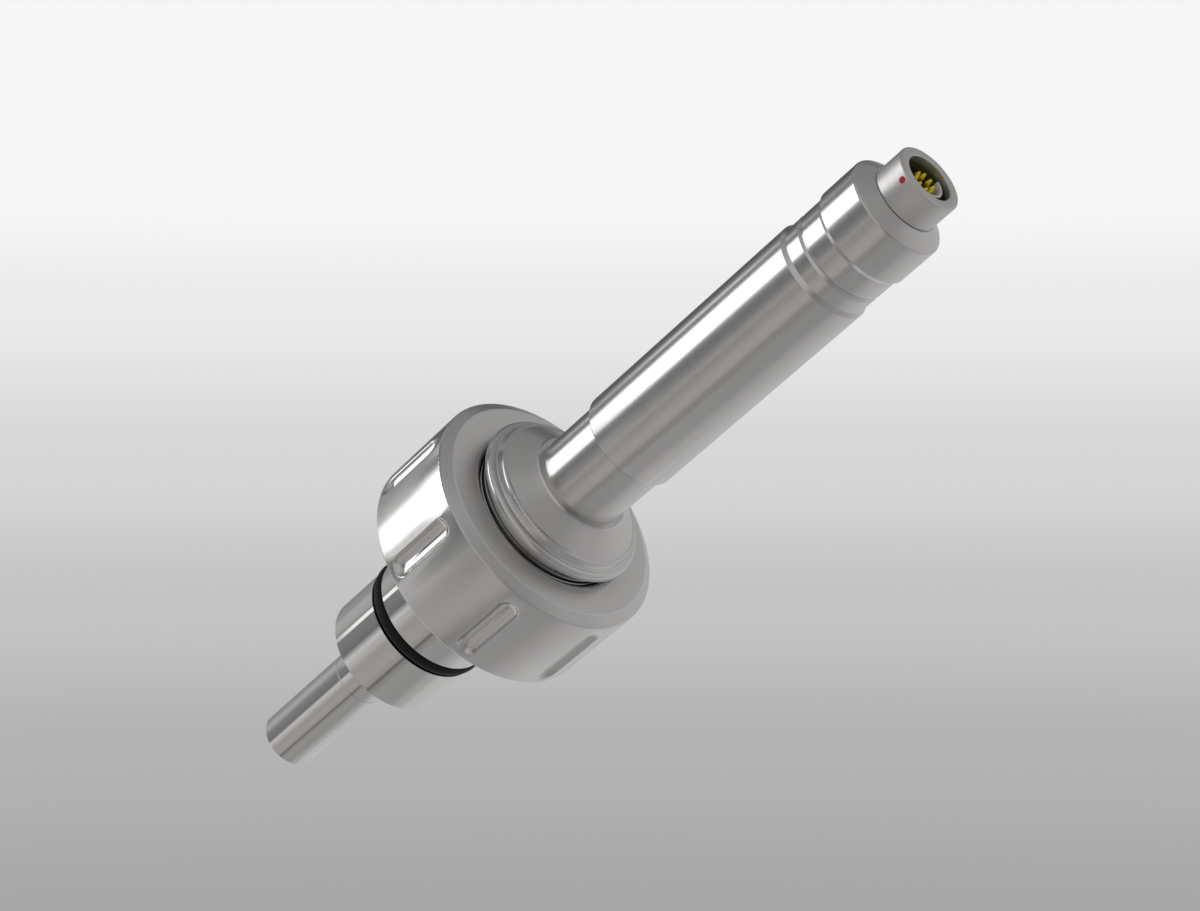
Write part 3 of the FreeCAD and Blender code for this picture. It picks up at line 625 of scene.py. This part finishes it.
def select_in_box(piece, low, high):
    """Selects only the vertices that lie in a box, given by its low and high corners."""
    bpy.ops.mesh.select_all(action="DESELECT")
    bpy.ops.object.mode_set(mode="OBJECT")
    for vertex in piece.data.vertices:
        vertex.select = all(least <= part <= most for least, part, most in zip(low, vertex.co, high))
    bpy.ops.object.mode_set(mode="EDIT")


def make_nut_thread(finish):
    """The ridge of the union nut's thread: one section swept up a screw line, its ends in the nut's wall."""
    middle = (THREAD_ROOT + THREAD_CREST) / 2
    depth = THREAD_ROOT - THREAD_CREST
    bpy.ops.object.select_all(action="DESELECT")
    bpy.ops.mesh.primitive_plane_add(
        size=1,
        location=(middle, 0, THREAD_BOTTOM),
        rotation=(math.pi / 2, 0, 0),
    )
    thread = bpy.context.object
    thread.name = "nut_thread"
    thread.scale = (depth, THREAD_BASE, 1)
    bpy.ops.object.transform_apply(location=True, rotation=True, scale=True)

    # The section narrows from the root to the crest, is rounded there, and keeps only its outline
    bpy.ops.object.mode_set(mode="EDIT")
    bpy.ops.mesh.select_mode(type="VERT")
    select_in_box(thread, (0, -math.inf, -math.inf), (middle, math.inf, math.inf))
    bpy.ops.transform.resize(
        value=(1, 1, THREAD_CREST_SHARE),
        center_override=(THREAD_CREST, 0, THREAD_BOTTOM),
    )
    bpy.ops.mesh.bevel(offset=THREAD_ROUNDING, segments=2, affect="VERTICES")
    bpy.ops.mesh.select_all(action="SELECT")
    bpy.ops.mesh.delete(type="ONLY_FACE")
    bpy.ops.object.mode_set(mode="OBJECT")

    screw = thread.modifiers.new("thread", "SCREW")
    screw.axis = "Z"
    screw.angle = 2 * math.pi
    screw.screw_offset = THREAD_PITCH
    screw.iterations = THREAD_TURNS
    screw.steps = THREAD_STEPS
    screw.render_steps = THREAD_STEPS
    bpy.ops.object.modifier_apply(modifier="thread")

    # Each end moves out into the wall, and is closed
    bpy.ops.object.mode_set(mode="EDIT")
    aside, along = THREAD_END_REACH
    for height in (THREAD_BOTTOM, THREAD_BOTTOM + THREAD_TURNS * THREAD_PITCH):
        select_in_box(thread, (0, -aside, height - along), (math.inf, aside, height + along))
        bpy.ops.transform.translate(value=(depth, 0, 0))
    bpy.ops.mesh.select_all(action="SELECT")
    bpy.ops.mesh.fill_holes(sides=0)
    bpy.ops.mesh.select_all(action="SELECT")
    bpy.ops.mesh.normals_make_consistent(inside=False)
    bpy.ops.object.mode_set(mode="OBJECT")
    bpy.ops.object.shade_smooth_by_angle(angle=THREAD_CRISP_TURN)
    thread.data.materials.append(finish)
    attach(thread, "union_nut")


def make_floor():
    bpy.ops.object.select_all(action="DESELECT")
    bpy.ops.mesh.primitive_circle_add(
        vertices=FLOOR_SIDES,
        radius=FLOOR_RADIUS,
        fill_type="NGON",
        location=(0, 0, FLOOR_HEIGHT),
    )
    floor = bpy.context.object
    floor.name = "floor"
    floor.data.materials.append(plain(
        "floor paint", (0.80, 0.80, 0.80), roughness=0.7, spread=0.05,
        grain_per_metre=60.0, grain_depth=0.1 * MM,
    ))


bpy.context.scene.view_settings.view_transform = "Standard"
make_camera()
make_world()
make_soft_lamp()
make_nut_lamp()
make_floor()
finishes = make_materials()
dress_nodes(finishes)
make_nut_thread(finishes["nut_steel"])
